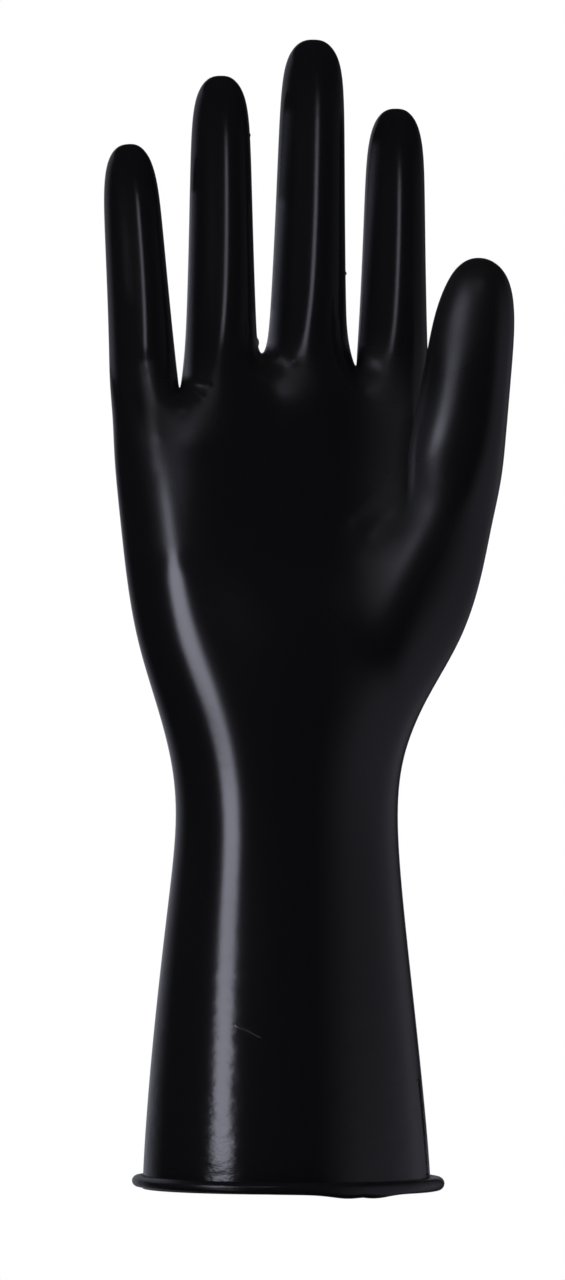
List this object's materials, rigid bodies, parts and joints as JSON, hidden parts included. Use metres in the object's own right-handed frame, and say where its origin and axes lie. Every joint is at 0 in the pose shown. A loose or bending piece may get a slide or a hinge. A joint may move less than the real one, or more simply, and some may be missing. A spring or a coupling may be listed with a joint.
{
  "type": "latex glove",
  "caption": "Long heavyweight glove of glossy black latex for the right hand, with close-fitting fingers and thumb, a narrow wrist and a flared gauntlet cuff that ends in a rolled rim.",
  "frame": {"origin": "centre of the cuff's open mouth, level with the lowest point of the rolled rim", "axes": "+Z from the cuff towards the fingertips, -Y out of the palm, +X towards the thumb"},
  "size_m": [0.1168, 0.0898, 0.3301],
  "materials": {
    "shell_latex": "glossy black dipped latex, smooth outside and plain matte inside",
    "bead_latex": "the same black latex, rolled up on itself, a little duller than the wall"
  },
  "bodies": {
    "root": {"glove_shell": "shell_latex", "cuff_bead": "bead_latex"}
  },
  "joints": []
}
